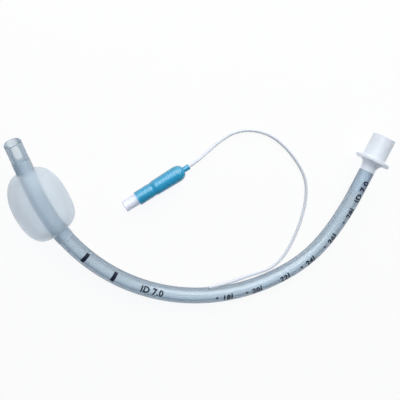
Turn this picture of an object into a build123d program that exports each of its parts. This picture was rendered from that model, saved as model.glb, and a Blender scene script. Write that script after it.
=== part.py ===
"""Cuffed endotracheal tube with its 15 mm connector, inflation line, pilot balloon and check valve.

Millimetres. The tube lies at rest: its cuff, its belly and its connector's flange touch Z = 0.
X runs along the length of the curve, Y towards its open side, Z up.
"""

from build123d import *

import os
from math import atan2, cos, degrees, isclose, pi, radians, sin, sqrt, tan

# Tube wall
lumen_diameter = 7.0
tube_diameter = 10.0
inflation_lumen_diameter = 0.7
inflation_lumen_offset = 4.25

# Tube curve, from the patient end to the machine end
patient_straight = 30.0
main_bend_radius = 116.0
patient_turn = 66.1
machine_turn = 30.2
tight_bend_radius = 77.0
tight_turn = 23.5
easy_bend_radius = 156.0
easy_turn = 12.7
machine_straight = 15.6

# Patient end
bevel_angle = 72.0
tip_rounding = 0.5
eye_distance = 8.2
eye_length = 8.0
eye_width = 4.8

# Cuff
cuff_diameter = 32.6
cuff_start = 19.2
cuff_length = 38.9
crown_offset = 0.05
cuff_wall = 0.3
distal_fullness = 2.0
proximal_fullness = 2.9
distal_collar = 6.5
proximal_collar = 6.2
port_diameter = 0.9

# Connector
cone_mouth_diameter = 15.1
cone_length = 15.8
cone_taper = 1 / 40
flange_diameter = 23.0
flange_thickness = 2.0
flange_height = 7.0
neck_diameter = 9.9
neck_height = 2.4
bore_diameter = 12.4
bore_depth = 14.2
passage_diameter = 5.6
spigot_length = 14.7
rim_rounding = 0.4

# Inflation line and the notch in the tube that it comes out of
line_diameter = 2.0
line_clearance = 0.05
notch_distance = 166.0
notch_offset = 4.9
notch_length = 13.0
notch_rise = 9.5
notch_run = 12.0
stub_approach = 5.8

# Pilot balloon, measured from the end of its stub
stub_diameter = 3.6
stub_length = 3.8
balloon_diameter = 10.1
balloon_end_diameter = 9.5
shoulder_end = 9.6
balloon_end = 24.0
waist_diameter = 8.6
waist_place = 26.6
sleeve_diameter = 8.9
sleeve_start = 28.6
sleeve_end = 37.2
balloon_wall = 0.5
waist_thickening = 0.4

# Check valve
port_outside_diameter = 7.1
port_length = 9.1
luer_mouth_diameter = 4.3
luer_taper = 6 / 100
luer_depth = 7.5
seat_thickness = 1.5
throat_diameter = 2.7
chamber_diameter = 6.0
housing_length = 10.6
stem_diameter = 2.0
stem_reach = 1.8
seal_diameter = 5.0
seal_thickness = 0.8
head_diameter = 4.6
head_thickness = 1.2
guide_diameter = 1.5
guide_length = 2.4
spring_diameter = 2.9
spring_wire_diameter = 0.35
spring_turns = 6
retainer_thickness = 1.8
retainer_hole_diameter = 2.0

# Placing on the floor
belly_x = -0.4
belly_y = -50.5
stub_x = -13.5
stub_y = 30.9
pilot_heading = 212.4

tube_radius = tube_diameter / 2
lumen_radius = lumen_diameter / 2
cuff_radius = cuff_diameter / 2
collar_radius = tube_radius + cuff_wall
flange_radius = flange_diameter / 2
cuff_crown = cuff_length / 2 + crown_offset
line_radius = line_diameter / 2


def bend_point(turn):
    """Place on the main bend, in the tube's plane, with the belly as origin."""
    return (main_bend_radius * sin(radians(turn)), main_bend_radius * (1 - cos(radians(turn))))


def bend_heading(distance):
    """Heading in degrees at a distance from the tip that lies within the main bend."""
    return degrees((distance - patient_straight) / main_bend_radius) - patient_turn


def heading_vector(turn):
    """Unit direction in the tube's plane."""
    return (cos(radians(turn)), sin(radians(turn)))


bend_start = bend_point(-patient_turn)
tip_point = (
    bend_start[0] - patient_straight * heading_vector(-patient_turn)[0],
    bend_start[1] - patient_straight * heading_vector(-patient_turn)[1],
)


def draw_spine():
    """Centreline of the tube, drawn in the current line builder."""
    leg = Line(tip_point, bend_start)
    bend = JernArc(leg @ 1, leg % 1, main_bend_radius, patient_turn + machine_turn)
    tight = JernArc(bend @ 1, bend % 1, tight_bend_radius, tight_turn)
    easy = JernArc(tight @ 1, tight % 1, easy_bend_radius, easy_turn)
    Line(easy @ 1, easy @ 1 + (easy % 1) * machine_straight)


with BuildLine(Plane.XY) as flat_spine:
    draw_spine()
flat_wire = flat_spine.wire()
tube_length = flat_wire.length


def flat_point(distance):
    """Place on the flat centreline at a distance from the tip; past its end it runs straight on."""
    inside = min(distance, tube_length)
    start = flat_wire.position_at(inside / tube_length)
    return start + flat_wire.tangent_at(inside / tube_length) * (distance - inside)


def cuff_radius_at(place):
    """Outside radius at a place along the cuff, an ellipse quarter each side of its crown."""
    if place < cuff_crown:
        share, fullness = 1 - place / cuff_crown, distal_fullness
    else:
        share, fullness = (place - cuff_crown) / (cuff_length - cuff_crown), proximal_fullness
    return collar_radius + (cuff_radius - collar_radius) * (1 - share**fullness) ** (1 / fullness)


def resting_plane():
    """Plane of the curve when cuff, belly and flange all touch the floor."""
    cuff_places = [cuff_length * step / 100 for step in range(1, 100)]
    flange_point = flat_point(tube_length + flange_height + flange_thickness / 2)
    turn, slope_x, slope_y = 0.0, 0.0, 0.1
    for _ in range(12):
        belly = bend_point(turn)

        def clearance(place):
            """How high the underside of the cuff would be at a place along it."""
            point = flat_point(cuff_start + place)
            return slope_x * point.X + slope_y * point.Y - cuff_radius_at(place)

        lowest = min(cuff_places, key=clearance)
        cuff_point = flat_point(cuff_start + lowest)
        rise_1 = cuff_radius_at(lowest) - tube_radius
        a, b = cuff_point.X - belly[0], cuff_point.Y - belly[1]
        rise_2 = flange_radius - tube_radius
        c, d = flange_point.X - belly[0], flange_point.Y - belly[1]
        spread = a * d - b * c
        slope_x = (rise_1 * d - rise_2 * b) / spread
        slope_y = (rise_2 * a - rise_1 * c) / spread
        turn = degrees(atan2(-slope_x, slope_y))
    height = tube_radius - slope_x * belly[0] - slope_y * belly[1]
    level = sqrt(1 - slope_x**2)
    upright = sqrt(1 - slope_x**2 - slope_y**2)
    return Plane(
        origin=(belly_x, belly_y, height),
        x_dir=(level, 0, slope_x),
        z_dir=(-slope_x * upright / level, -slope_y / level, upright),
    )


tube_plane = resting_plane()

with BuildLine(tube_plane) as spine:
    draw_spine()
spine_wire = spine.wire()


def across(distance, sideways=0.0):
    """Plane across the tube at a distance from the tip: Z along it, X to the inside of its curve."""
    inside = min(distance, tube_length)
    along = spine_wire.tangent_at(inside / tube_length)
    place = spine_wire.position_at(inside / tube_length) + along * (distance - inside)
    inward = tube_plane.z_dir.cross(along)
    return Plane(origin=place + inward * sideways, x_dir=inward, z_dir=along)


# Tube: extruded wall, bevelled and rounded patient end, eye, inflation lumen and notch
port_distance = cuff_start + cuff_crown
tip_plane = across(0)
bevel_rise = tube_radius / tan(radians(bevel_angle))
bevel_normal = tube_plane.z_dir * cos(radians(bevel_angle)) - tip_plane.z_dir * sin(radians(bevel_angle))
notch_plane = across(notch_distance, notch_offset)
line_start = notch_plane.origin
line_heading = notch_plane.z_dir.rotate(Axis((0, 0, 0), tube_plane.z_dir), notch_rise)

with BuildPart() as tube:
    with BuildSketch(tip_plane):
        Circle(tube_radius)
    sweep(path=spine_wire)
    with BuildSketch(tip_plane):
        Circle(lumen_radius)
    sweep(path=spine_wire, mode=Mode.SUBTRACT)
    split(bisect_by=Plane(origin=across(bevel_rise).origin, z_dir=bevel_normal), keep=Keep.BOTTOM)
    fillet(tube.edges().filter_by(GeomType.ELLIPSE), tip_rounding)
    with BuildSketch(Plane(across(eye_distance).origin, x_dir=tip_plane.z_dir, z_dir=-tube_plane.z_dir)):
        SlotOverall(eye_length, eye_width)
    extrude(amount=tube_diameter, mode=Mode.SUBTRACT)
    with BuildLine(tube_plane) as inflation_path:
        CenterArc(
            (0, main_bend_radius),
            main_bend_radius,
            bend_heading(port_distance) - 90,
            bend_heading(notch_distance) - bend_heading(port_distance),
        )
    with BuildSketch(across(port_distance)):
        with Locations((inflation_lumen_offset, 0)):
            Circle(inflation_lumen_diameter / 2)
    sweep(path=inflation_path.wire(), mode=Mode.SUBTRACT)
    inward = across(port_distance).x_dir
    with BuildSketch(Plane(across(port_distance, inflation_lumen_offset).origin, z_dir=inward)):
        Circle(port_diameter / 2)
    extrude(amount=tube_radius, mode=Mode.SUBTRACT)
    with BuildSketch(Plane(line_start, z_dir=line_heading)):
        Circle(line_radius + line_clearance)
    extrude(amount=notch_length, mode=Mode.SUBTRACT)
tube.part.label = "tube"


# Cuff: blown barrel between two collars that are bonded to the tube
def barrel(wall):
    """The barrel as a solid, or the space inside it when a wall is taken off."""
    ring_count = 5
    steps = [cos(pi * k / (2 * ring_count)) for k in range(ring_count + 1)]
    places = [cuff_crown * (1 - s) for s in steps]
    places += [cuff_crown + (cuff_length - cuff_crown) * s for s in reversed(steps[:-1])]
    with BuildPart() as blown:
        for place in places:
            clear = min(max(place, wall), cuff_length - wall)
            with BuildSketch(across(cuff_start + clear)):
                Circle(cuff_radius_at(clear) - wall)
        loft()
    return blown.part


def along_spine(start, length):
    """Path along the tube's centreline from a distance from the tip."""
    return spine_wire.trim(start / tube_length, (start + length) / tube_length)


with BuildPart() as cuff:
    add(barrel(0))
    collars_start = cuff_start - distal_collar
    collars_length = distal_collar + cuff_length + proximal_collar
    with BuildSketch(across(collars_start)):
        Circle(collar_radius)
    sweep(path=along_spine(collars_start, collars_length))
    add(barrel(cuff_wall), mode=Mode.SUBTRACT)
    with BuildSketch(across(collars_start)):
        Circle(tube_radius)
    sweep(path=along_spine(collars_start, collars_length), mode=Mode.SUBTRACT)
cuff.part.label = "cuff"

# Connector: moulded cone with flange, waist and the spigot that is pushed into the tube
seat_plane = across(tube_length)
turning_plane = Plane(seat_plane.origin, x_dir=seat_plane.x_dir, z_dir=-seat_plane.y_dir)
cone_base = flange_height + flange_thickness
cone_top = cone_base + cone_length
cone_mouth_radius = cone_mouth_diameter / 2
cone_base_radius = cone_mouth_radius + cone_length * cone_taper / 2
neck_radius = neck_diameter / 2
bore_radius = bore_diameter / 2
passage_radius = passage_diameter / 2
connector_axis = Axis(seat_plane.origin, seat_plane.z_dir)

with BuildPart() as connector:
    with BuildSketch(turning_plane):
        with BuildLine():
            outside = Polyline(
                (passage_radius, -spigot_length),
                (lumen_radius, -spigot_length),
                (lumen_radius, 0),
                (neck_radius, 0),
                (neck_radius, neck_height),
            )
            waist = TangentArc(
                outside @ 1,
                (cone_base_radius + rim_rounding, flange_height),
                tangent=(0, 1),
            )
            cone = Polyline(
                waist @ 1,
                (flange_radius, flange_height),
                (flange_radius, cone_base),
                (cone_base_radius, cone_base),
                (cone_mouth_radius, cone_top),
                (bore_radius, cone_top),
                (bore_radius, cone_top - bore_depth),
                (passage_radius, neck_height),
                (passage_radius, -spigot_length),
            )
        make_face()
    revolve(axis=connector_axis)
    for rim_radius in (flange_radius, cone_mouth_radius):
        rims = connector.edges().filter_by(GeomType.CIRCLE)
        fillet(rims.filter_by(lambda edge: isclose(edge.radius, rim_radius)), rim_rounding)
connector.part.label = "connector"

# Pilot balloon: blown in one piece with its stub and the sleeve that holds the valve
pilot_direction = Vector(cos(radians(pilot_heading)), sin(radians(pilot_heading)), 0)
pilot_height = balloon_diameter / 2
stub_end = Vector(stub_x, stub_y, pilot_height)
pilot_plane = Plane(
    stub_end,
    x_dir=pilot_direction,
    z_dir=pilot_direction.cross(Vector(0, 0, 1)),
)
pilot_axis = Axis(stub_end, pilot_direction)
valve_mouth = sleeve_end + port_length
housing_end = sleeve_end - housing_length
housing_radius = sleeve_diameter / 2 - balloon_wall

with BuildPart() as pilot_balloon:
    with BuildSketch(pilot_plane):
        with BuildLine():
            stub = Polyline((0, line_radius), (0, stub_diameter / 2), (stub_length, stub_diameter / 2))
            shoulder = Spline(
                stub @ 1,
                (shoulder_end, balloon_diameter / 2),
                tangents=((0.3, 1), (1, 0)),
            )
            body = Line(shoulder @ 1, (balloon_end, balloon_end_diameter / 2))
            waist = Spline(
                body @ 1,
                (waist_place, waist_diameter / 2),
                (sleeve_start, sleeve_diameter / 2),
                tangents=(body % 1, (1, 0)),
            )
            sleeve = Polyline(
                waist @ 1,
                (sleeve_end, sleeve_diameter / 2),
                (sleeve_end, housing_radius),
                (housing_end, housing_radius),
                (housing_end - balloon_wall, waist_diameter / 2 - balloon_wall - waist_thickening),
                (balloon_end, balloon_end_diameter / 2 - balloon_wall),
                (shoulder_end, balloon_diameter / 2 - balloon_wall),
                (stub_length + balloon_wall, line_radius),
                (0, line_radius),
            )
        make_face()
    revolve(axis=pilot_axis)
pilot_balloon.part.label = "pilot_balloon"

# Valve body: luer port outside the sleeve, seat, and the chamber inside it
seat_place = valve_mouth - luer_depth
chamber_start = seat_place - seat_thickness
luer_bottom_radius = (luer_mouth_diameter - luer_depth * luer_taper) / 2

with BuildPart() as valve_body:
    with BuildSketch(pilot_plane):
        with BuildLine():
            Polyline(
                (housing_end, chamber_diameter / 2),
                (housing_end, housing_radius),
                (sleeve_end, housing_radius),
                (sleeve_end, port_outside_diameter / 2),
                (valve_mouth, port_outside_diameter / 2),
                (valve_mouth, luer_mouth_diameter / 2),
                (seat_place, luer_bottom_radius),
                (seat_place, throat_diameter / 2),
                (chamber_start, throat_diameter / 2),
                (chamber_start, chamber_diameter / 2),
                close=True,
            )
        make_face()
    revolve(axis=pilot_axis)
    mouth_edges = valve_body.edges().filter_by(GeomType.CIRCLE)
    fillet(mouth_edges.sort_by(pilot_axis)[-2:], rim_rounding / 2)
valve_body.part.label = "valve_body"

# Valve stem: tip that a syringe pushes, head that carries the seal, pin that guides the spring
seal_back = chamber_start - seal_thickness
head_back = seal_back - head_thickness
guide_end = head_back - guide_length

with BuildPart() as valve_stem:
    with BuildSketch(pilot_plane):
        with BuildLine():
            Polyline(
                (guide_end, 0),
                (guide_end, guide_diameter / 2),
                (head_back, guide_diameter / 2),
                (head_back, head_diameter / 2),
                (seal_back, head_diameter / 2),
                (seal_back, stem_diameter / 2),
                (seat_place + stem_reach, stem_diameter / 2),
                (seat_place + stem_reach, 0),
                close=True,
            )
        make_face()
    revolve(axis=pilot_axis)
valve_stem.part.label = "valve_stem"

# Valve seal: rubber washer on the stem, pressed against the seat
with BuildPart() as valve_seal:
    with BuildSketch(Plane(stub_end + pilot_direction * seal_back, z_dir=pilot_direction)):
        Circle(seal_diameter / 2)
        Circle(stem_diameter / 2, mode=Mode.SUBTRACT)
    extrude(amount=seal_thickness)
valve_seal.part.label = "valve_seal"

# Valve retainer: ring that closes the chamber and holds the spring
with BuildPart() as valve_retainer:
    with BuildSketch(Plane(stub_end + pilot_direction * housing_end, z_dir=pilot_direction)):
        Circle(chamber_diameter / 2)
        Circle(retainer_hole_diameter / 2, mode=Mode.SUBTRACT)
    extrude(amount=retainer_thickness)
valve_retainer.part.label = "valve_retainer"

# Valve spring: coil between the retainer and the stem's head
retainer_face = housing_end + retainer_thickness
coil_radius = (spring_diameter - spring_wire_diameter) / 2
coil_start = retainer_face + spring_wire_diameter / 2
coil_height = head_back - retainer_face - spring_wire_diameter

with BuildPart() as valve_spring:
    with BuildLine() as coil:
        Helix(
            pitch=coil_height / spring_turns,
            height=coil_height,
            radius=coil_radius,
            center=stub_end + pilot_direction * coil_start,
            direction=pilot_direction,
        )
    with BuildSketch(Plane(origin=coil.line @ 0, z_dir=coil.line % 0)):
        Circle(spring_wire_diameter / 2)
    sweep(path=coil.wire(), is_frenet=True)
valve_spring.part.label = "valve_spring"

# Inflation line: leaves the notch, comes down to the floor, loops round and enters the stub
line_route = [
    line_start,
    line_start + line_heading * notch_run,
    (24.0, -40.6, 4.1),
    (34.4, -38.6, 1.3),
    (43.5, -36.1, 1.0),
    (49.6, -32.2, 1.0),
    (55.5, -25.5, 1.0),
    (61.0, -14.7, 1.0),
    (65.6, -1.6, 1.0),
    (68.0, 12.4, 1.0),
    (66.4, 24.8, 1.0),
    (59.0, 36.0, 1.0),
    (50.3, 45.0, 1.0),
    (39.8, 52.0, 1.0),
    (27.0, 54.7, 1.0),
    (16.0, 52.6, 1.0),
    (8.3, 47.8, 1.0),
    (0.6, 41.7, 1.9),
    stub_end - pilot_direction * stub_approach,
    stub_end + pilot_direction * stub_length,
]


def corner_radii(route):
    """Largest arc that each corner's two runs allow, and the turn of the corner."""
    points = [Vector(place) for place in route]
    radii = []
    for before, corner, after in zip(points, points[1:], points[2:]):
        turn = radians((corner - before).get_angle(after - corner))
        shorter = min((corner - before).length, (after - corner).length)
        radii.append(0.45 * shorter / tan(turn / 2))
    return radii


line_radii = corner_radii(line_route)
print("inflation line radii", [round(radius, 1) for radius in line_radii])

with BuildPart() as inflation_line:
    with BuildLine() as line_path:
        FilletPolyline(line_route, radius=line_radii)
    with BuildSketch(Plane(line_path.line @ 0, z_dir=line_path.line % 0)):
        Circle(line_radius)
    sweep(path=line_path.wire())
inflation_line.part.label = "inflation_line"
print("inflation line length", round(line_path.wire().length, 1))
print("volume share", round(inflation_line.part.volume / (line_path.wire().length * pi * line_radius**2), 4))

pieces = [
    tube,
    cuff,
    connector,
    inflation_line,
    pilot_balloon,
    valve_body,
    valve_retainer,
    valve_spring,
    valve_stem,
    valve_seal,
]
os.makedirs("parts", exist_ok=True)
for piece in pieces:
    export_step(piece.part, f"parts/{piece.part.label}.step")
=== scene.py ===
"""Dresses a cuffed endotracheal tube: finishes, printed marks, inflation line and studio."""

from math import cos, radians, sin

import bpy
from mathutils import Matrix, Vector


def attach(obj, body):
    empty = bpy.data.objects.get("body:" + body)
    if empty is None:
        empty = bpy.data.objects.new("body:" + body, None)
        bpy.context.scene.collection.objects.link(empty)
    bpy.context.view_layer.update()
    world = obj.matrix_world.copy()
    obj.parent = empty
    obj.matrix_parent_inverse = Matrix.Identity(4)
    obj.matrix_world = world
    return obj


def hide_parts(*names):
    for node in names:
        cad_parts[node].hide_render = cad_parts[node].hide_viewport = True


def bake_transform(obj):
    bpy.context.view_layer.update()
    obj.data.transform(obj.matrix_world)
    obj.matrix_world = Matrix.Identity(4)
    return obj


bl_info = {
    "name": "Endotracheal Tube",
    "version": (1, 0, 0),
    "blender": (4, 5, 0),
    "location": "View3D > Sidebar > Airway",
    "description": "Finishes, printed marks, inflation line and studio for a cuffed breathing tube",
    "category": "Object",
}

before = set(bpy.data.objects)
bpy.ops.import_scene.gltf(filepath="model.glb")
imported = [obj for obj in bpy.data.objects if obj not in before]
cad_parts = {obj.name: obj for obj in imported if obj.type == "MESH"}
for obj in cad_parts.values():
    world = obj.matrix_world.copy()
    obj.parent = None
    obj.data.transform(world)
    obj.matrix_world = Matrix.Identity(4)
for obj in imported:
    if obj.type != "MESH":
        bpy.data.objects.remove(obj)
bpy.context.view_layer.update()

# Plane that the tube's curve lies in, with the lowest point of the main bend as its origin
CURVE_ORIGIN = Vector((-0.0004, -0.0505, 0.005811))
CURVE_ALONG = Vector((0.999176, 0.0, -0.040591)).normalized()
CURVE_NORMAL = Vector((0.040325, -0.114415, 0.992614)).normalized()
CURVE_INWARD = CURVE_NORMAL.cross(CURVE_ALONG)

# Runs of the tube from tip to connector: length or radius in metres, and turn in degrees
PATIENT_STRAIGHT = 0.030
PATIENT_TURN = 66.1
BENDS = ((0.116, 96.3), (0.077, 23.5), (0.156, 12.7))
TUBE_RADIUS = 0.005

# Inflation line, from the notch in the tube to the stub of the pilot balloon
LINE_ROUTE = (
    (0.001704, -0.045613, 0.006289),
    (0.013501, -0.043425, 0.006062),
    (0.0240, -0.0406, 0.0041),
    (0.0344, -0.0386, 0.0013),
    (0.0435, -0.0361, 0.0010),
    (0.0496, -0.0322, 0.0010),
    (0.0555, -0.0255, 0.0010),
    (0.0610, -0.0147, 0.0010),
    (0.0656, -0.0016, 0.0010),
    (0.0680, 0.0124, 0.0010),
    (0.0664, 0.0248, 0.0010),
    (0.0590, 0.0360, 0.0010),
    (0.0503, 0.0450, 0.0010),
    (0.0398, 0.0520, 0.0010),
    (0.0270, 0.0547, 0.0010),
    (0.0160, 0.0526, 0.0010),
    (0.0083, 0.0478, 0.0010),
    (0.0006, 0.0417, 0.0019),
    (-0.008603, 0.034008, 0.00505),
    (-0.016708, 0.028864, 0.00505),
)

# Direction of the pilot balloon and how far along it the sleeve ends, from the frame's origin
PILOT_HEADING = Vector((-0.844328, -0.535827, 0.0))
STUB_PLACE = Vector((-0.0135, 0.0309, 0.0))
STUB_TO_SLEEVE_END = 0.0372
SLEEVE_END = PILOT_HEADING.dot(STUB_PLACE) + STUB_TO_SLEEVE_END

# Printed marks: distances from the tip, and how far the line of print turns round the tube, in degrees
THICK_BARS = (0.0798, 0.1012)
SIZE_FIGURES = (0.1272, 0.2931)
FIRST_DEPTH, LAST_DEPTH = 18, 28
DEPTH_WITHOUT_DOT = 22
DIGITS_BEFORE_TICK = 0.0036
DIGITS_OUTWARD = -0.0006
TICK_WIDTH, TICK_LENGTH = 0.0009, 0.0042
DOT_RADIUS = 0.0008
PRINT_STATIONS = ((0.080, 1.0), (0.127, 7.0), (0.180, -9.0), (0.240, -8.0), (0.300, -12.0))
PRINT_LIFT = 0.00004
PRINT_STRIP = 0.0006


def deselect_all():
    """Leaves nothing selected and no mesh in edit mode."""
    if bpy.context.object is not None and bpy.context.object.mode != "OBJECT":
        bpy.ops.object.mode_set(mode="OBJECT")
    bpy.ops.object.select_all(action="DESELECT")


def tube_place(distance):
    """Centre point, heading and inward direction of the tube at a distance from its tip."""
    heading = -radians(PATIENT_TURN)
    radius = BENDS[0][0]
    start = Vector((radius * sin(heading), radius * (1 - cos(heading))))
    if distance <= PATIENT_STRAIGHT:
        flat = start + Vector((cos(heading), sin(heading))) * (distance - PATIENT_STRAIGHT)
    else:
        left = distance - PATIENT_STRAIGHT
        flat = start
        for radius, turn in BENDS:
            run = min(left, radius * radians(turn))
            centre = flat + Vector((-sin(heading), cos(heading))) * radius
            heading += run / radius
            flat = centre + Vector((sin(heading), -cos(heading))) * radius
            left -= run
        flat = flat + Vector((cos(heading), sin(heading))) * left
    point = CURVE_ORIGIN + CURVE_ALONG * flat.x + CURVE_INWARD * flat.y
    along = CURVE_ALONG * cos(heading) + CURVE_INWARD * sin(heading)
    return point, along, CURVE_NORMAL.cross(along)


def print_angle(distance):
    """Angle of the printed line round the tube, from straight up towards the inside of its curve."""
    if distance <= PRINT_STATIONS[0][0]:
        return radians(PRINT_STATIONS[0][1])
    for (start, low), (end, high) in zip(PRINT_STATIONS, PRINT_STATIONS[1:]):
        if distance <= end:
            return radians(low + (high - low) * (distance - start) / (end - start))
    return radians(PRINT_STATIONS[-1][1])


def tube_skin(distance, angle):
    """Place of the print, just outside the tube's wall."""
    point, along, inward = tube_place(distance)
    return point + (CURVE_NORMAL * cos(angle) + inward * sin(angle)) * (TUBE_RADIUS + PRINT_LIFT)


# Materials

def new_group(name, inputs, outputs):
    """Empty shader node group with its sockets and its two end nodes."""
    group = bpy.data.node_groups.new(name, "ShaderNodeTree")
    for label, kind, value in inputs:
        socket = group.interface.new_socket(name=label, in_out="INPUT", socket_type=kind)
        socket.default_value = value
    for label, kind in outputs:
        group.interface.new_socket(name=label, in_out="OUTPUT", socket_type=kind)
    entry = group.nodes.new("NodeGroupInput")
    leave = group.nodes.new("NodeGroupOutput")
    return group, entry, leave


def flow_lines_group():
    """Faint cloudy streaks, as in extruded or moulded clear plastic: a tinted colour and a height."""
    group, entry, leave = new_group(
        "plastic_flow",
        (
            ("Colour", "NodeSocketColor", (0.8, 0.8, 0.8, 1.0)),
            ("Cloud Colour", "NodeSocketColor", (0.9, 0.9, 0.9, 1.0)),
            ("Scale", "NodeSocketFloat", 200.0),
            ("Amount", "NodeSocketFloat", 0.3),
        ),
        (("Colour", "NodeSocketColor"), ("Height", "NodeSocketFloat")),
    )
    place = group.nodes.new("ShaderNodeTexCoord")
    noise = group.nodes.new("ShaderNodeTexNoise")
    noise.inputs["Detail"].default_value = 3.0
    spread = group.nodes.new("ShaderNodeMapRange")
    spread.inputs["From Min"].default_value = 0.35
    spread.inputs["From Max"].default_value = 0.65
    weight = group.nodes.new("ShaderNodeMath")
    weight.operation = "MULTIPLY"
    blend = group.nodes.new("ShaderNodeMix")
    blend.data_type = "RGBA"
    link = group.links.new
    link(place.outputs["Object"], noise.inputs["Vector"])
    link(entry.outputs["Scale"], noise.inputs["Scale"])
    link(noise.outputs["Fac"], spread.inputs["Value"])
    link(spread.outputs["Result"], weight.inputs[0])
    link(entry.outputs["Amount"], weight.inputs[1])
    link(weight.outputs["Value"], blend.inputs["Factor"])
    link(entry.outputs["Colour"], blend.inputs["A"])
    link(entry.outputs["Cloud Colour"], blend.inputs["B"])
    link(blend.outputs["Result"], leave.inputs["Colour"])
    link(noise.outputs["Fac"], leave.inputs["Height"])
    return group


def plastic(name, colour, cloud, roughness, transmission=0.0, scale=200.0, amount=0.3, bump=0.05,
            coat=0.0, subsurface=0.0, alpha=1.0):
    """Moulded or extruded plastic with the shared flow group for its colour and surface."""
    material = bpy.data.materials.new(name)
    material.use_nodes = True
    nodes, link = material.node_tree.nodes, material.node_tree.links.new
    shader = nodes["Principled BSDF"]
    shader.inputs["Roughness"].default_value = roughness
    shader.inputs["Transmission Weight"].default_value = transmission
    shader.inputs["IOR"].default_value = 1.5
    shader.inputs["Coat Weight"].default_value = coat
    shader.inputs["Coat Roughness"].default_value = 0.24
    shader.inputs["Subsurface Weight"].default_value = subsurface
    shader.inputs["Subsurface Radius"].default_value = (0.004, 0.004, 0.004)
    shader.inputs["Alpha"].default_value = alpha
    flow = nodes.new("ShaderNodeGroup")
    flow.node_tree = bpy.data.node_groups.get("plastic_flow") or flow_lines_group()
    flow.inputs["Colour"].default_value = (*colour, 1.0)
    flow.inputs["Cloud Colour"].default_value = (*cloud, 1.0)
    flow.inputs["Scale"].default_value = scale
    flow.inputs["Amount"].default_value = amount
    relief = nodes.new("ShaderNodeBump")
    relief.inputs["Strength"].default_value = bump
    relief.inputs["Distance"].default_value = 0.0002
    link(flow.outputs["Colour"], shader.inputs["Base Color"])
    link(flow.outputs["Height"], relief.inputs["Height"])
    link(relief.outputs["Normal"], shader.inputs["Normal"])
    return material


def absorb(material, colour, density):
    """Tints the light that passes through a clear solid, more where it is thicker."""
    nodes, link = material.node_tree.nodes, material.node_tree.links.new
    depth = nodes.new("ShaderNodeVolumeAbsorption")
    depth.inputs["Color"].default_value = (*colour, 1.0)
    depth.inputs["Density"].default_value = density
    link(depth.outputs["Volume"], nodes["Material Output"].inputs["Volume"])
    return material


def deepen_edges(material, colour, start):
    """Paints shade into the colour of clear plastic, darker towards its outline where the eye looks
    along the wall.
    """
    nodes, link = material.node_tree.nodes, material.node_tree.links.new
    shader = nodes["Principled BSDF"]
    flow = shader.inputs["Base Color"].links[0].from_socket
    slant = nodes.new("ShaderNodeLayerWeight")
    slant.inputs["Blend"].default_value = 0.5
    edge = nodes.new("ShaderNodeMapRange")
    edge.inputs["From Min"].default_value = start
    blend = nodes.new("ShaderNodeMix")
    blend.data_type = "RGBA"
    blend.inputs["B"].default_value = (*colour, 1.0)
    link(slant.outputs["Facing"], edge.inputs["Value"])
    link(edge.outputs["Result"], blend.inputs["Factor"])
    link(flow, blend.inputs["A"])
    link(blend.outputs["Result"], shader.inputs["Base Color"])
    return material


def pass_light(material, tint):
    """Lets lamp light through clear plastic, tinted, so that what lies inside or behind it is lit."""
    nodes, link = material.node_tree.nodes, material.node_tree.links.new
    leave = nodes["Material Output"]
    path = nodes.new("ShaderNodeLightPath")
    open_air = nodes.new("ShaderNodeBsdfTransparent")
    open_air.inputs["Color"].default_value = (*tint, 1.0)
    mix = nodes.new("ShaderNodeMixShader")
    link(path.outputs["Is Shadow Ray"], mix.inputs["Fac"])
    link(nodes["Principled BSDF"].outputs["BSDF"], mix.inputs[1])
    link(open_air.outputs["BSDF"], mix.inputs[2])
    link(mix.outputs["Shader"], leave.inputs["Surface"])
    return material


def clear_housing(material):
    """Makes the valve's plastic clear inside the sleeve and milky on the luer port outside it."""
    nodes, link = material.node_tree.nodes, material.node_tree.links.new
    place = nodes.new("ShaderNodeTexCoord")
    along = nodes.new("ShaderNodeVectorMath")
    along.operation = "DOT_PRODUCT"
    along.inputs[1].default_value = PILOT_HEADING
    mask = nodes.new("ShaderNodeMapRange")
    mask.inputs["From Min"].default_value = SLEEVE_END - 0.0006
    mask.inputs["From Max"].default_value = SLEEVE_END
    mask.inputs["To Min"].default_value = 0.25
    link(place.outputs["Object"], along.inputs[0])
    link(along.outputs["Value"], mask.inputs["Value"])
    link(mask.outputs["Result"], nodes["Principled BSDF"].inputs["Alpha"])
    return material


def give_finish(obj, material):
    """Gives a piece one finish all over."""
    obj.data.materials.clear()
    obj.data.materials.append(material)


def dress(node, material):
    """Gives a CAD node its finish."""
    give_finish(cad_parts[node], material)


class AirwayLooks(bpy.types.PropertyGroup):
    """Colours of the clear and moulded plastics."""

    tube_colour: bpy.props.FloatVectorProperty(
        name="Tube colour", description="Tint of the clear tube wall",
        default=(0.82, 0.865, 0.895), size=3, min=0.0, max=1.0, subtype="COLOR")
    cuff_colour: bpy.props.FloatVectorProperty(
        name="Cuff colour", description="Tint of the blown cuff",
        default=(0.71, 0.79, 0.86), size=3, min=0.0, max=1.0, subtype="COLOR")
    connector_colour: bpy.props.FloatVectorProperty(
        name="Connector colour", description="Colour of the moulded connector",
        default=(0.84, 0.87, 0.92), size=3, min=0.0, max=1.0, subtype="COLOR")
    balloon_colour: bpy.props.FloatVectorProperty(
        name="Balloon colour", description="Colour of the pilot balloon",
        default=(0.02, 0.46, 0.68), size=3, min=0.0, max=1.0, subtype="COLOR")
    ink_colour: bpy.props.FloatVectorProperty(
        name="Ink colour", description="Colour of the printed marks",
        default=(0.003, 0.008, 0.03), size=3, min=0.0, max=1.0, subtype="COLOR")


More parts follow.
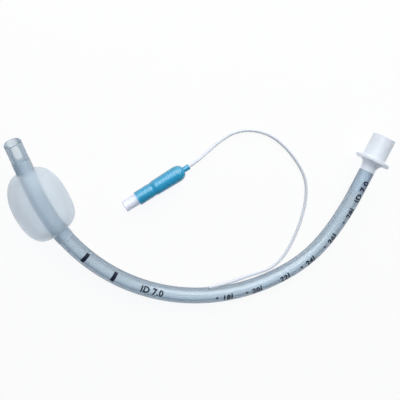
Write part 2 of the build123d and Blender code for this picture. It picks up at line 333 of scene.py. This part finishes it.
class AirwayMarks(bpy.types.PropertyGroup):
    """Sizes of the printed marks, in metres."""

    first_mark: bpy.props.FloatProperty(
        name="First mark", description="Distance from the tip to the first numbered mark",
        default=0.1804, min=0.1, max=0.25, unit="LENGTH")
    spacing: bpy.props.FloatProperty(
        name="Spacing", description="Distance between numbered marks, two centimetres on the real scale",
        default=0.020, min=0.005, max=0.05, unit="LENGTH")
    digit_height: bpy.props.FloatProperty(
        name="Digit height", description="Height of the printed digits",
        default=0.0036, min=0.001, max=0.005, unit="LENGTH")
    band_width: bpy.props.FloatProperty(
        name="Band width", description="Width of the two thick bars along the tube",
        default=0.0025, min=0.0005, max=0.004, unit="LENGTH")
    band_length: bpy.props.FloatProperty(
        name="Band length", description="Length of the two thick bars round the tube",
        default=0.0066, min=0.002, max=0.012, unit="LENGTH")


class AirwayStudio(bpy.types.PropertyGroup):
    """Camera and light."""

    lens: bpy.props.FloatProperty(
        name="Lens", description="Focal length on a 36 mm wide sensor",
        default=58.5, min=20.0, max=200.0, unit="CAMERA")
    key_power: bpy.props.FloatProperty(
        name="Key power", description="Power of the large soft lamp on the open side of the curve",
        default=7.8, min=0.0, max=50.0, unit="POWER")
    room_light: bpy.props.FloatProperty(
        name="Room light", description="Strength of the even light from all round",
        default=0.23, min=0.0, max=3.0)


def ink_material():
    """Flat printed ink."""
    return plastic("printed_ink", bpy.context.scene.airway_looks.ink_colour, (0.006, 0.014, 0.04), 0.55,
                   scale=900.0, amount=0.5, bump=0.1)


def wrap_on_tube(obj, distance):
    """Bends a flat mesh, X along the tube and Y round it, onto the tube's wall."""
    for vertex in obj.data.vertices:
        x, y = vertex.co.x, vertex.co.y
        vertex.co = tube_skin(distance + x, print_angle(distance + x) + y / TUBE_RADIUS)
    obj.data.update()


def slice_flat(obj, step):
    """Cuts a flat mesh into narrow strips both ways, so that it can follow a round wall."""
    deselect_all()
    bpy.context.view_layer.objects.active = obj
    obj.select_set(True)
    xs = [vertex.co.x for vertex in obj.data.vertices]
    ys = [vertex.co.y for vertex in obj.data.vertices]
    bpy.ops.object.mode_set(mode="EDIT")
    for values, normal in ((xs, (1, 0, 0)), (ys, (0, 1, 0))):
        spot = min(values) + step
        while spot < max(values):
            bpy.ops.mesh.select_all(action="SELECT")
            bpy.ops.mesh.bisect(plane_co=Vector(normal) * spot, plane_no=normal)
            spot += step
    bpy.ops.object.mode_set(mode="OBJECT")


def finish_mark(obj, name, distance, material):
    """Names a printed mark, lays it on the tube and gives it its ink."""
    slice_flat(obj, PRINT_STRIP)
    obj.name = name
    obj.data.name = name
    wrap_on_tube(obj, distance)
    give_finish(obj, material)
    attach(obj, "airway")


def printed_text(words, name, distance, height, material, shift=0.0):
    """Letters and digits printed on the tube, reading from the tip towards the connector."""
    deselect_all()
    bpy.ops.object.text_add(location=(0, 0, 0))
    obj = bpy.context.object
    obj.data.body = words
    obj.data.size = height / 0.7
    obj.data.align_x = "CENTER"
    obj.data.align_y = "CENTER"
    obj.data.resolution_u = 3
    obj.data.offset = 0.0002
    obj.data.space_character = 1.06
    bpy.ops.object.convert(target="MESH")
    obj = bpy.context.object
    for vertex in obj.data.vertices:
        vertex.co.y += shift
    finish_mark(obj, name, distance, material)


def printed_bar(name, distance, along, around, material):
    """Rectangular printed bar."""
    deselect_all()
    bpy.ops.mesh.primitive_plane_add(size=1.0, location=(0, 0, 0))
    obj = bpy.context.object
    for vertex in obj.data.vertices:
        vertex.co = (vertex.co.x * along, vertex.co.y * around, 0)
    finish_mark(obj, name, distance, material)


def printed_dot(name, distance, radius, material):
    """Round printed dot."""
    deselect_all()
    bpy.ops.mesh.primitive_circle_add(vertices=20, radius=radius, fill_type="NGON", location=(0, 0, 0))
    finish_mark(bpy.context.object, name, distance, material)


def closing_spring():
    """Coil that stands for the valve's spring, copied from the CAD spring with its points merged."""
    coil = bpy.data.objects.new("closing_spring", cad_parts["valve_spring"].data.copy())
    bpy.context.scene.collection.objects.link(coil)
    deselect_all()
    bpy.context.view_layer.objects.active = coil
    coil.select_set(True)
    bpy.ops.object.mode_set(mode="EDIT")
    bpy.ops.mesh.select_all(action="SELECT")
    bpy.ops.mesh.remove_doubles(threshold=0.000001)
    bpy.ops.object.mode_set(mode="OBJECT")
    deselect_all()
    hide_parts("valve_spring")
    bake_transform(coil)
    return coil


class AIRWAY_OT_tube(bpy.types.Operator):
    """Gives the tube its clear pale blue plastic."""

    bl_idname = "airway.tube"
    bl_label = "Finish tube"

    def execute(self, context):
        looks = context.scene.airway_looks
        clear = plastic("tube_plastic", looks.tube_colour, (0.87, 0.905, 0.93), 0.14,
                        transmission=0.82, scale=120.0, amount=0.35, bump=0.0)
        # Painted shade: the tube's colour turns dark blue towards its outline.
        deepen_edges(clear, (0.004, 0.09, 0.21), 0.06)
        pass_light(clear, (0.66, 0.77, 0.85))
        dress("tube", absorb(clear, (0.10, 0.37, 0.53), 95.0))
        return {"FINISHED"}


class AIRWAY_OT_cuff(bpy.types.Operator):
    """Gives the cuff its thin milky film."""

    bl_idname = "airway.cuff"
    bl_label = "Finish cuff"

    def execute(self, context):
        looks = context.scene.airway_looks
        film = plastic("cuff_film", looks.cuff_colour, (0.77, 0.84, 0.91), 0.45,
                       transmission=0.5, scale=90.0, amount=0.4, bump=0.03, alpha=0.38)
        pass_light(film, (0.86, 0.90, 0.93))
        dress("cuff", film)
        return {"FINISHED"}


class AIRWAY_OT_connector(bpy.types.Operator):
    """Gives the connector its translucent white plastic."""

    bl_idname = "airway.connector"
    bl_label = "Finish connector"

    def execute(self, context):
        looks = context.scene.airway_looks
        milky = plastic("connector_plastic", looks.connector_colour, (0.88, 0.90, 0.94), 0.35,
                        transmission=0.2, scale=160.0, amount=0.3, bump=0.04, subsurface=0.7)
        dress("connector", pass_light(milky, (0.80, 0.84, 0.88)))
        return {"FINISHED"}


class AIRWAY_OT_inflation_line(bpy.types.Operator):
    """Lays the thin inflation line from the notch to the pilot balloon."""

    bl_idname = "airway.inflation_line"
    bl_label = "Lay inflation line"

    def execute(self, context):
        data = bpy.data.curves.new("inflation_tubing", "CURVE")
        data.dimensions = "3D"
        data.resolution_u = 10
        data.bevel_depth = 0.001
        data.bevel_resolution = 5
        data.use_fill_caps = True
        spline = data.splines.new("NURBS")
        spline.points.add(len(LINE_ROUTE) - 1)
        for point, place in zip(spline.points, LINE_ROUTE):
            point.co = (*place, 1.0)
        spline.order_u = 3
        spline.use_endpoint_u = True
        line = bpy.data.objects.new("inflation_tubing", data)
        context.scene.collection.objects.link(line)
        data.materials.append(plastic("line_plastic", (0.84, 0.88, 0.95), (0.88, 0.91, 0.97), 0.4,
                                      transmission=0.2, scale=300.0, amount=0.3, bump=0.0))
        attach(line, "airway")
        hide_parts("inflation_line")
        closing_spring()
        return {"FINISHED"}


class AIRWAY_OT_pilot_balloon(bpy.types.Operator):
    """Gives the pilot balloon its clear blue plastic."""

    bl_idname = "airway.pilot_balloon"
    bl_label = "Finish pilot balloon"

    def execute(self, context):
        looks = context.scene.airway_looks
        blue = plastic("balloon_plastic", looks.balloon_colour, (0.05, 0.54, 0.74), 0.3,
                       transmission=0.5, scale=220.0, amount=0.4, bump=0.0, coat=1.0)
        # Painted shade: the balloon's colour turns dark blue towards its outline.
        deepen_edges(blue, (0.0, 0.14, 0.27), 0.3)
        pass_light(blue, (0.30, 0.72, 0.88))
        dress("pilot_balloon", blue)
        return {"FINISHED"}


class AIRWAY_OT_valve(bpy.types.Operator):
    """Gives the check valve's pieces their plastics, steel and rubber."""

    bl_idname = "airway.valve"
    bl_label = "Finish check valve"

    def execute(self, context):
        white = plastic("valve_plastic", (0.90, 0.92, 0.98), (0.94, 0.95, 0.99), 0.2,
                        transmission=0.25, scale=260.0, amount=0.3, bump=0.03)
        # Painted shade: the valve plastic's colour turns lavender grey towards its outline.
        deepen_edges(white, (0.50, 0.54, 0.72), 0.2)
        clear_housing(white)
        pass_light(white, (0.85, 0.88, 0.94))
        for node in ("valve_body", "valve_retainer", "valve_stem"):
            dress(node, white)
        dress("valve_seal", plastic("seal_rubber", (0.02, 0.02, 0.025), (0.05, 0.05, 0.06), 0.6,
                                    scale=500.0, amount=0.3, bump=0.1))
        steel = plastic("spring_steel", (0.14, 0.15, 0.17), (0.22, 0.23, 0.26), 0.4,
                        scale=700.0, amount=0.4)
        steel.node_tree.nodes["Principled BSDF"].inputs["Metallic"].default_value = 1.0
        give_finish(bpy.data.objects["closing_spring"], steel)
        return {"FINISHED"}


class AIRWAY_OT_marks(bpy.types.Operator):
    """Prints the depth marks, the two thick bars and the two size figures on the tube."""

    bl_idname = "airway.marks"
    bl_label = "Print marks"

    def execute(self, context):
        sizes = context.scene.airway_marks
        ink = ink_material()
        for number, distance in enumerate(THICK_BARS, start=1):
            printed_bar(f"thick_bar_{number}", distance, sizes.band_width, sizes.band_length, ink)
        for number, distance in enumerate(SIZE_FIGURES, start=1):
            printed_text("ID 7.0", f"size_figure_{number}", distance, sizes.digit_height * 1.1, ink)
        for step, depth in enumerate(range(FIRST_DEPTH, LAST_DEPTH + 1, 2)):
            distance = sizes.first_mark + step * sizes.spacing
            printed_text(str(depth), f"depth_{depth}", distance - DIGITS_BEFORE_TICK,
                         sizes.digit_height, ink, shift=DIGITS_OUTWARD)
            printed_bar(f"tick_{depth}", distance, TICK_WIDTH, TICK_LENGTH, ink)
            if depth != DEPTH_WITHOUT_DOT:
                printed_dot(f"dot_{depth - 1}", distance - sizes.spacing / 2, DOT_RADIUS, ink)
        return {"FINISHED"}


class AIRWAY_OT_stage(bpy.types.Operator):
    """Sets the white floor, the room's light, the soft lamp and the camera."""

    bl_idname = "airway.stage"
    bl_label = "Set stage"

    def execute(self, context):
        scene = context.scene
        studio = scene.airway_studio
        deselect_all()
        bpy.ops.mesh.primitive_plane_add(size=6.0, location=(0, 0, -0.00002))
        floor = context.object
        floor.name = "studio_floor"
        paint = bpy.data.materials.new("floor_white")
        paint.use_nodes = True
        nodes, link = paint.node_tree.nodes, paint.node_tree.links.new
        shader = nodes["Principled BSDF"]
        shader.inputs["Base Color"].default_value = (0.9, 0.9, 0.9, 1.0)
        shader.inputs["Roughness"].default_value = 0.9
        shader.inputs["Specular IOR Level"].default_value = 0.0
        glow = nodes.new("ShaderNodeEmission")
        glow.inputs["Strength"].default_value = 1.0
        path = nodes.new("ShaderNodeLightPath")
        direct = nodes.new("ShaderNodeMath")
        direct.operation = "MAXIMUM"
        shown = nodes.new("ShaderNodeMath")
        shown.operation = "MULTIPLY"
        shown.inputs[1].default_value = 0.9
        through = nodes.new("ShaderNodeMath")
        through.operation = "MULTIPLY"
        through.inputs[1].default_value = 0.2
        share = nodes.new("ShaderNodeMath")
        share.operation = "MAXIMUM"
        mix = nodes.new("ShaderNodeMixShader")
        link(path.outputs["Is Camera Ray"], direct.inputs[0])
        link(path.outputs["Is Glossy Ray"], direct.inputs[1])
        link(direct.outputs["Value"], shown.inputs[0])
        link(path.outputs["Is Transmission Ray"], through.inputs[0])
        link(shown.outputs["Value"], share.inputs[0])
        link(through.outputs["Value"], share.inputs[1])
        link(share.outputs["Value"], mix.inputs["Fac"])
        link(shader.outputs["BSDF"], mix.inputs[1])
        link(glow.outputs["Emission"], mix.inputs[2])
        link(mix.outputs["Shader"], nodes["Material Output"].inputs["Surface"])
        floor.data.materials.append(paint)

        world = bpy.data.worlds.new("studio_room")
        scene.world = world
        world.use_nodes = True
        nodes, link = world.node_tree.nodes, world.node_tree.links.new
        room = nodes["Background"]
        room.inputs["Color"].default_value = (0.80, 0.90, 1.0, 1.0)
        room.inputs["Strength"].default_value = studio.room_light
        wall = nodes.new("ShaderNodeBackground")
        wall.inputs["Color"].default_value = (1.0, 1.0, 1.0, 1.0)
        path = nodes.new("ShaderNodeLightPath")
        mix = nodes.new("ShaderNodeMixShader")
        link(path.outputs["Is Camera Ray"], mix.inputs["Fac"])
        link(room.outputs["Background"], mix.inputs[1])
        link(wall.outputs["Background"], mix.inputs[2])
        link(mix.outputs["Shader"], nodes["World Output"].inputs["Surface"])

        lamp = bpy.data.lights.new("key_softbox", "AREA")
        lamp.shape = "RECTANGLE"
        lamp.size = 1.0
        lamp.size_y = 0.85
        lamp.energy = studio.key_power
        key = bpy.data.objects.new("key_softbox", lamp)
        key.location = (0.04, 0.55, 0.50)
        key.rotation_euler = (Vector((0, 0, 0)) - key.location).to_track_quat("-Z", "Y").to_euler()
        scene.collection.objects.link(key)

        eye = bpy.data.cameras.new("studio_camera")
        eye.sensor_width = 36.0
        eye.lens = studio.lens
        eye.clip_start = 0.01
        eye.clip_end = 20.0
        camera = bpy.data.objects.new("studio_camera", eye)
        right = Vector((0.964085, 0.035599, 0.263196))
        up = Vector((0.0, 0.990981, -0.134000))
        back = right.cross(up)
        turn = Matrix((right, up, back)).transposed().to_4x4()
        camera.matrix_world = Matrix.Translation((-0.11275, 0.06238, 0.39037)) @ turn
        scene.collection.objects.link(camera)
        scene.camera = camera
        scene.view_settings.view_transform = "Standard"
        return {"FINISHED"}


class AIRWAY_PT_panel(bpy.types.Panel):
    """Lists the steps and the values that they use."""

    bl_idname = "AIRWAY_PT_panel"
    bl_label = "Endotracheal Tube"
    bl_space_type = "VIEW_3D"
    bl_region_type = "UI"
    bl_category = "Airway"

    def draw(self, context):
        scene = context.scene
        column = self.layout.column()
        for operator in STEPS:
            column.operator(operator.bl_idname)
        for group in (scene.airway_looks, scene.airway_marks, scene.airway_studio):
            for field in group.__annotations__:
                column.prop(group, field)


STEPS = (
    AIRWAY_OT_stage,
    AIRWAY_OT_inflation_line,
    AIRWAY_OT_tube,
    AIRWAY_OT_cuff,
    AIRWAY_OT_connector,
    AIRWAY_OT_pilot_balloon,
    AIRWAY_OT_valve,
    AIRWAY_OT_marks,
)

CLASSES = (AirwayLooks, AirwayMarks, AirwayStudio, *STEPS, AIRWAY_PT_panel)


def register():
    for cls in CLASSES:
        bpy.utils.register_class(cls)
    bpy.types.Scene.airway_looks = bpy.props.PointerProperty(type=AirwayLooks)
    bpy.types.Scene.airway_marks = bpy.props.PointerProperty(type=AirwayMarks)
    bpy.types.Scene.airway_studio = bpy.props.PointerProperty(type=AirwayStudio)


def unregister():
    del bpy.types.Scene.airway_studio
    del bpy.types.Scene.airway_marks
    del bpy.types.Scene.airway_looks
    for cls in reversed(CLASSES):
        bpy.utils.unregister_class(cls)


def main():
    """Dresses the tube."""
    register()
    bpy.ops.airway.stage()
    bpy.ops.airway.inflation_line()
    bpy.ops.airway.tube()
    bpy.ops.airway.cuff()
    bpy.ops.airway.connector()
    bpy.ops.airway.pilot_balloon()
    bpy.ops.airway.valve()
    bpy.ops.airway.marks()


if __name__ == "__main__":
    main()
